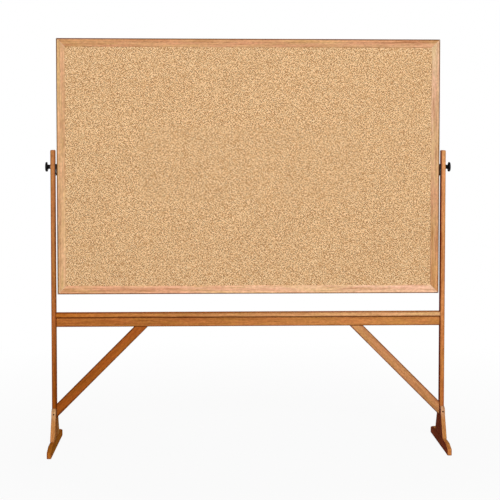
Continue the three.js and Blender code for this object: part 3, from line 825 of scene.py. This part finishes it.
def fastener_tree():
    """Geometry nodes that put one threaded fastener on each point, its shank along the point's aim.

    The node group comes with the identifiers of its inputs, by name.
    """
    tree = bpy.data.node_groups.new("threaded fasteners", "GeometryNodeTree")
    kinds = {"Points": "NodeSocketGeometry"}
    for name in ("Head radius", "Head underside radius", "Head height", "Core radius", "Length",
                 "Tip length", "Thread start", "Thread pitch", "Thread rise", "Recess radius",
                 "Recess depth"):
        kinds[name] = "NodeSocketFloat"
    kinds.update({"Recess sides": "NodeSocketInt", "Facets": "NodeSocketInt", "Finish": "NodeSocketMaterial"})
    sockets = {name: tree.interface.new_socket(name=name, in_out="INPUT", socket_type=kind).identifier
               for name, kind in kinds.items()}
    tree.interface.new_socket(name="Fasteners", in_out="OUTPUT", socket_type="NodeSocketGeometry")
    put = partial(add, tree)
    given = put("NodeGroupInput").outputs

    def raised(geometry, height):
        upwards = put("CombineXYZ", named={"Z": height})
        return put("GeometryNodeTransform", named={"Geometry": geometry, "Translation": upwards})

    head = put("GeometryNodeMeshCone", fill_type="NGON", named={
        "Vertices": given["Facets"], "Radius Bottom": given["Head radius"],
        "Radius Top": given["Head underside radius"], "Depth": given["Head height"],
    })
    recess = put("GeometryNodeMeshCylinder", fill_type="NGON", named={
        "Vertices": given["Recess sides"], "Radius": given["Recess radius"],
        "Depth": weighed(put, (given["Recess depth"], 2)),
    })
    driven_head = put("GeometryNodeMeshBoolean", head, recess, operation="DIFFERENCE", solver="EXACT")
    core_length = weighed(put, (given["Length"], 1), (given["Head height"], -1), (given["Tip length"], -1))
    core = put("GeometryNodeMeshCylinder", fill_type="NGON", named={
        "Vertices": given["Facets"], "Radius": given["Core radius"], "Depth": core_length,
    })
    core_middle = weighed(put, (given["Head height"], 1), (core_length, 0.5))
    tip = put("GeometryNodeMeshCone", fill_type="NGON", named={
        "Vertices": given["Facets"], "Radius Bottom": given["Core radius"],
        "Radius Top": weighed(put, (given["Core radius"], 0.2)), "Depth": given["Tip length"],
    })
    tip_start = weighed(put, (given["Length"], 1), (given["Tip length"], -1))
    thread_length = weighed(put, (tip_start, 1), (given["Thread start"], -1))
    helix = put("GeometryNodeCurveSpiral", named={
        "Resolution": 14,
        "Rotations": put("Math", thread_length, given["Thread pitch"], operation="DIVIDE"),
        "Start Radius": given["Core radius"], "End Radius": given["Core radius"],
        "Height": thread_length,
    })
    ridge = put("GeometryNodeCurvePrimitiveCircle", named={"Resolution": 4, "Radius": given["Thread rise"]})
    thread = put("GeometryNodeCurveToMesh",
                 named={"Curve": helix, "Profile Curve": ridge, "Fill Caps": True})
    blank = put("GeometryNodeMeshBoolean", operation="UNION", solver="EXACT",
                named={"Mesh 2": [driven_head, raised(core, core_middle), raised(tip, tip_start)]})
    welded = put("GeometryNodeMergeByDistance", named={"Geometry": blank, "Distance": 0.01 * MM})
    joined = put("GeometryNodeJoinGeometry", [welded, raised(thread, given["Thread start"])])
    aim = put("GeometryNodeInputNamedAttribute", "aim", data_type="FLOAT_VECTOR")
    placed = put("GeometryNodeInstanceOnPoints", named={
        "Points": given["Points"], "Instance": joined,
        "Rotation": put("FunctionNodeAlignRotationToVector", axis="Z", named={"Vector": aim}),
    })
    solid = put("GeometryNodeRealizeInstances", placed)
    finished = put("GeometryNodeSetMaterial", named={"Geometry": solid, "Material": given["Finish"]})
    put("NodeGroupOutput", finished)
    return tree, sockets


def head_place(node, aim):
    """The middle of a CAD fastener's head, its length and its head's radius."""
    low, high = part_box(node)
    size = high - low
    long = abs(size.dot(aim))
    return (low + high) / 2 - aim * long / 2, long, (size.x + size.y + size.z - long) / 4


class CORKBOARD_OT_fasteners(bpy.types.Operator):
    """Makes the screws, bolts and pivot studs"""
    bl_idname = "corkboard.fasteners"
    bl_label = "Fasteners"

    FACETS = 32

    def execute(self, context):
        zinc, steel = zinc_plate(), lacquered_steel()
        # Each group is one piece: its fasteners, each with the way that it points.
        groups = {}
        for side, sign in SIDES.items():
            out = Vector((sign, 0, 0))
            for group, node, aim in (
                ("plate_screws_board", f"board_plate_screw_{side}_upper", -out),
                ("plate_screws_board", f"board_plate_screw_{side}_lower", -out),
                ("plate_screws_stand", f"post_plate_screw_{side}", out),
                ("brace_screws", f"brace_post_screw_{side}", -out),
                ("brace_screws", f"brace_rail_screw_{side}", -UP),
                ("block_screws", f"foot_block_screw_{side}_front", BACK),
                ("block_screws", f"foot_block_screw_{side}_back", -BACK),
                ("rail_bolts", f"rail_bolt_{side}", -out),
                ("foot_bolts", f"foot_bolt_{side}", UP),
                ("pivot_studs", f"pivot_stud_{side}", out),
            ):
                groups.setdefault(group, {})[node] = aim
            dress(zinc, f"barrel_nut_{side}")
        tree, sockets = fastener_tree()
        for group, aims in groups.items():
            heads = [head_place(node, aim) for node, aim in aims.items()]
            _, long, head_radius = heads[0]
            shape = self.bolt if group in ("rail_bolts", "foot_bolts", "pivot_studs") else self.screw
            # Screws in the plates are black lacquered like the plates. The foot-block screws are black as
            # well, as painted shade in their recesses.
            dark = "plate" in group or "block" in group
            values = shape(settings().fasteners, long, head_radius)
            values.update({
                "Head radius": head_radius, "Length": long, "Facets": self.FACETS,
                "Thread rise": settings().fasteners.thread_rise,
                "Recess radius": head_radius * 0.46, "Recess depth": values["Head height"] * 0.6,
                "Finish": steel if dark else zinc,
            })
            mesh = self.made(group, [place for place, _, _ in heads], aims.values(), tree,
                             {sockets[name]: value for name, value in values.items()})
            body = "board" if group in ("plate_screws_board", "pivot_studs") else "stand"
            settle(linked(f"threaded_{group}", mesh), body,
                   list(aims))
        return {"FINISHED"}

    def screw(self, sizes, long, head_radius):
        """A wood screw: countersunk head with a square recess, coarse thread and a point."""
        core = head_radius * 0.46 - sizes.thread_rise
        return {
            "Head underside radius": core, "Head height": sizes.screw_head, "Core radius": core,
            "Tip length": 5 * MM, "Thread start": long * 0.35, "Thread pitch": sizes.screw_pitch,
            "Recess sides": 4,
        }

    def bolt(self, sizes, long, head_radius):
        """A bolt or stud: flat head with a hexagon recess, fine thread and a short chamfer."""
        return {
            "Head underside radius": head_radius, "Head height": sizes.bolt_head,
            "Core radius": head_radius * 0.5 - sizes.thread_rise,
            "Tip length": 1 * MM, "Thread start": long * 0.45, "Thread pitch": sizes.bolt_pitch,
            "Recess sides": 6,
        }

    def made(self, group, places, aims, tree, values):
        """The mesh that the nodes make of one group's points, with their aims."""
        points = bpy.data.meshes.new(group)
        points.from_pydata(places, [], [])
        attribute = points.attributes.new("aim", "FLOAT_VECTOR", "POINT")
        for item, aim in zip(attribute.data, aims):
            item.vector = aim
        carrier = linked(group, points)
        modifier = carrier.modifiers.new("fasteners", "NODES")
        modifier.node_group = tree
        for identifier, value in values.items():
            modifier[identifier] = value
        graph = bpy.context.evaluated_depsgraph_get()
        mesh = bpy.data.meshes.new_from_object(carrier.evaluated_get(graph))
        bpy.data.objects.remove(carrier)
        return mesh


# Studio


def studio_floor():
    """Matt white studio floor: reads as white to the eye, and keeps the object's soft shadow."""
    material, put = blank_material("studio floor")
    coordinates = put("TexCoord").outputs["Object"]
    mottle = put("TexNoise", coordinates, 3.0, 2.0)
    paint = put("ValToRGB", mottle, stops=[(0.3, linear("A6A6A6")), (0.7, linear("AAAAAA"))])
    glow = put("Emission", (1, 1, 1), 1.0)
    # Close to the object a little of the paint shows, and with it the shadow. Farther off it is all white.
    away = put("VectorMath", coordinates, operation="LENGTH")
    white = put("MapRange", away, 1.0, 3.4, 0.94, 1.0)
    share = put("Math", seen_ray(put), white, operation="MULTIPLY")
    put("OutputMaterial", put("MixShader", share, put("BsdfDiffuse", paint), glow))
    return material


def studio_world(level):
    """Even grey light all round, and white where it is seen."""
    world = bpy.data.worlds.new("studio")
    world.use_nodes = True
    world.node_tree.nodes.clear()
    put = partial(add, world.node_tree)
    strength = put("MapRange", seen_ray(put), 0.0, 1.0, level, 1.0)
    put("OutputWorld", put("Background", (1, 1, 1), strength))
    bpy.context.scene.world = world


def soft_light(name, place, size, watts):
    """A square soft light at a place, aimed at the middle of the object."""
    target = Vector((0, 0, 1))
    light = bpy.data.lights.new(name, "AREA")
    light.shape = "SQUARE"
    light.size = size
    light.energy = watts
    lamp = linked(name, light)
    lamp.location = place
    lamp.rotation_euler = (target - Vector(place)).to_track_quat("-Z", "Y").to_euler()


class CORKBOARD_OT_studio(bpy.types.Operator):
    """Sets up the floor, the lights and the camera"""
    bl_idname = "corkboard.studio"
    bl_label = "Studio"

    FLOOR_SIZE = 60

    def execute(self, context):
        studio = settings().studio
        maker = bmesh.new()
        bmesh.ops.create_grid(maker, x_segments=1, y_segments=1, size=self.FLOOR_SIZE / 2)
        floor = object_from(maker, "floor", studio_floor())
        studio_world(studio.sky_level)
        soft_light("key light", (1.2, -12.8, 8.2), 3.5, studio.key_power)
        soft_light("fill light", (0.5, -9.4, 1.3), 2.4, studio.fill_power)
        soft_light("back light", (0.5, 8.6, 2.2), 3.0, studio.back_power)
        self.place_camera(context, studio)
        context.scene.view_settings.view_transform = "Standard"
        return {"FINISHED"}

    def place_camera(self, context, studio):
        """Puts the camera where the photograph was taken from, as fitted to the object's corners."""
        lens = bpy.data.cameras.new("camera")
        lens.sensor_width = 36
        lens.lens = studio.focal_pixels * lens.sensor_width / studio.picture_pixels
        lens.shift_x = -studio.shift_pixels[0] / studio.picture_pixels
        lens.shift_y = studio.shift_pixels[1] / studio.picture_pixels
        lens.clip_end = 100
        camera = linked("camera", lens)
        turn = (Matrix.Rotation(studio.yaw, 4, "Z") @ Matrix.Rotation(studio.pitch, 4, "X")
                @ Matrix.Rotation(studio.roll, 4, "Y") @ Matrix.Rotation(math.radians(90), 4, "X"))
        camera.matrix_world = Matrix.Translation(studio.camera_place) @ turn
        context.scene.camera = camera


class CorkBoardSettings(bpy.types.PropertyGroup):
    """All that a user of the cork board may change."""
    moulding: settings_of(FrameMouldingSizes, "Moulding", "Frame section")
    cork: settings_of(CorkSizes, "Cork", "Cork grain and tones")
    timber: settings_of(TimberColours, "Timber", "Oak tones")
    grain: settings_of(TimberGrain, "Grain", "Oak grain and stain")
    fittings: settings_of(FittingColours, "Fittings", "Metal and plastic")
    fasteners: settings_of(FastenerSizes, "Fasteners", "Screws and bolts")
    studio: settings_of(StudioSettings, "Studio", "Camera and lights")


OPERATORS = (
    CORKBOARD_OT_studio,
    CORKBOARD_OT_frame,
    CORKBOARD_OT_panel,
    CORKBOARD_OT_stand,
    CORKBOARD_OT_knobs,
    CORKBOARD_OT_pivots,
    CORKBOARD_OT_fasteners,
)


class CORKBOARD_PT_sidebar(bpy.types.Panel):
    """Lists the steps that make the cork board"""
    bl_label = "Cork board"
    bl_idname = "CORKBOARD_PT_sidebar"
    bl_space_type = "VIEW_3D"
    bl_region_type = "UI"
    bl_category = "Cork board"

    def draw(self, context):
        for operator in OPERATORS:
            self.layout.operator(operator.bl_idname)
        for group in CorkBoardSettings.__annotations__:
            values = getattr(context.scene.cork_board, group)
            box = self.layout.box()
            box.label(text=group.capitalize())
            for name in values.__annotations__:
                box.prop(values, name)


CLASSES = (
    FrameMouldingSizes,
    CorkSizes,
    TimberColours,
    TimberGrain,
    FittingColours,
    FastenerSizes,
    StudioSettings,
    CorkBoardSettings,
    *OPERATORS,
    CORKBOARD_PT_sidebar,
)


def register():
    for item in CLASSES:
        bpy.utils.register_class(item)
    bpy.types.Scene.cork_board = PointerProperty(type=CorkBoardSettings)


def unregister():
    del bpy.types.Scene.cork_board
    for item in reversed(CLASSES):
        bpy.utils.unregister_class(item)


def main():
    register()
    bpy.ops.corkboard.studio()
    bpy.ops.corkboard.frame()
    bpy.ops.corkboard.panel()
    bpy.ops.corkboard.stand()
    bpy.ops.corkboard.knobs()
    bpy.ops.corkboard.pivots()
    bpy.ops.corkboard.fasteners()


if __name__ == "__main__":
    main()
